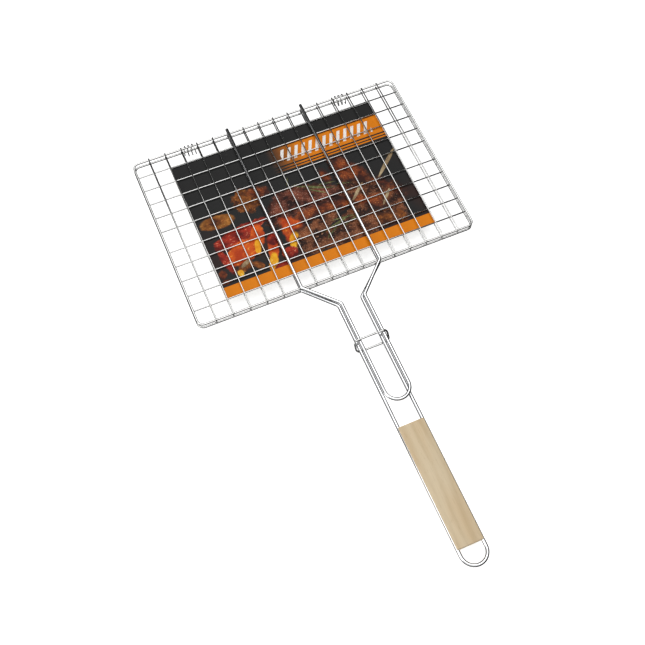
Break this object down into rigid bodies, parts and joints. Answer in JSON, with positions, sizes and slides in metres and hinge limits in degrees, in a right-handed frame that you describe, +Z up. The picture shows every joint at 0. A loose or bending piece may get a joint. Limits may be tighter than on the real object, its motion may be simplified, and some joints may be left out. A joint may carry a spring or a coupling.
{
  "type": "grill basket",
  "caption": "Hinged wire grill basket: two rectangular grates on a long looped handle with a wooden grip, a sliding lock ring and a card insert held between the grates.",
  "frame": {"origin": "middle of the bounding box in plan, at the height of the hinge coils' underside", "axes": "+X across the basket, +Y from the handle towards the hinge edge, +Z up through the closed grates"},
  "size_m": [0.3412, 0.5846, 0.0157],
  "materials": {
    "chrome_wire": "bright chrome-plated drawn steel wire",
    "chrome_rod": "bright chrome-plated steel rod and thick wire",
    "beech_wood": "pale untreated hardwood, sanded",
    "printed_card": "printed card, charcoal with an orange band and pictures of grilled food"
  },
  "bodies": {
    "lower_grate": {"lower_rim": "chrome_rod", "lower_long_wire_01": "chrome_wire", "lower_long_wire_02": "chrome_wire", "lower_long_wire_03": "chrome_wire", "lower_long_wire_04": "chrome_wire", "lower_long_wire_05": "chrome_wire", "lower_long_wire_06": "chrome_wire", "lower_long_wire_07": "chrome_wire", "lower_long_wire_08": "chrome_wire", "lower_long_wire_09": "chrome_wire", "lower_long_wire_10": "chrome_wire", "lower_long_wire_11": "chrome_wire", "lower_long_wire_12": "chrome_wire", "lower_long_wire_13": "chrome_wire", "lower_long_wire_14": "chrome_wire", "lower_cross_wire_01": "chrome_wire", "lower_cross_wire_02": "chrome_wire", "lower_cross_wire_03": "chrome_wire", "lower_cross_wire_04": "chrome_wire", "lower_cross_wire_05": "chrome_wire", "lower_cross_wire_06": "chrome_wire", "lower_cross_wire_07": "chrome_wire", "lower_cross_wire_08": "chrome_wire", "lower_cross_wire_09": "chrome_wire", "lower_cross_wire_10": "chrome_wire", "lower_handle_rod": "chrome_rod", "wood_handle": "beech_wood"},
    "upper_grate": {"upper_rim": "chrome_rod", "upper_long_wire_01": "chrome_wire", "upper_long_wire_02": "chrome_wire", "upper_long_wire_03": "chrome_wire", "upper_long_wire_04": "chrome_wire", "upper_long_wire_05": "chrome_wire", "upper_long_wire_06": "chrome_wire", "upper_long_wire_07": "chrome_wire", "upper_long_wire_08": "chrome_wire", "upper_long_wire_09": "chrome_wire", "upper_long_wire_10": "chrome_wire", "upper_long_wire_11": "chrome_wire", "upper_long_wire_12": "chrome_wire", "upper_long_wire_13": "chrome_wire", "upper_long_wire_14": "chrome_wire", "upper_cross_wire_01": "chrome_wire", "upper_cross_wire_02": "chrome_wire", "upper_cross_wire_03": "chrome_wire", "upper_cross_wire_04": "chrome_wire", "upper_cross_wire_05": "chrome_wire", "upper_cross_wire_06": "chrome_wire", "upper_cross_wire_07": "chrome_wire", "upper_cross_wire_08": "chrome_wire", "upper_cross_wire_09": "chrome_wire", "upper_cross_wire_10": "chrome_wire", "upper_handle_rod": "chrome_rod", "hinge_coil_left": "chrome_rod", "hinge_coil_right": "chrome_rod"},
    "lock_ring": {"lock_ring": "chrome_rod"},
    "card_insert": {"card_insert": "printed_card"}
  },
  "joints": [
    {"name": "upper_grate_hinge", "type": "hinge", "parent": "lower_grate", "child": "upper_grate", "pos_m": [0, 0.2873, 0.0031], "axis": [-1, 0, 0], "range_deg": [0, 180]},
    {"name": "lock_ring_slide", "type": "slide", "parent": "lower_grate", "child": "lock_ring", "axis": [0, -1, 0], "range_m": [-0.044, 0.094]},
    {"name": "card_insert_slide", "type": "slide", "parent": "lower_grate", "child": "card_insert", "axis": [1, 0, 0], "range_m": [0, 0.31]}
  ]
}
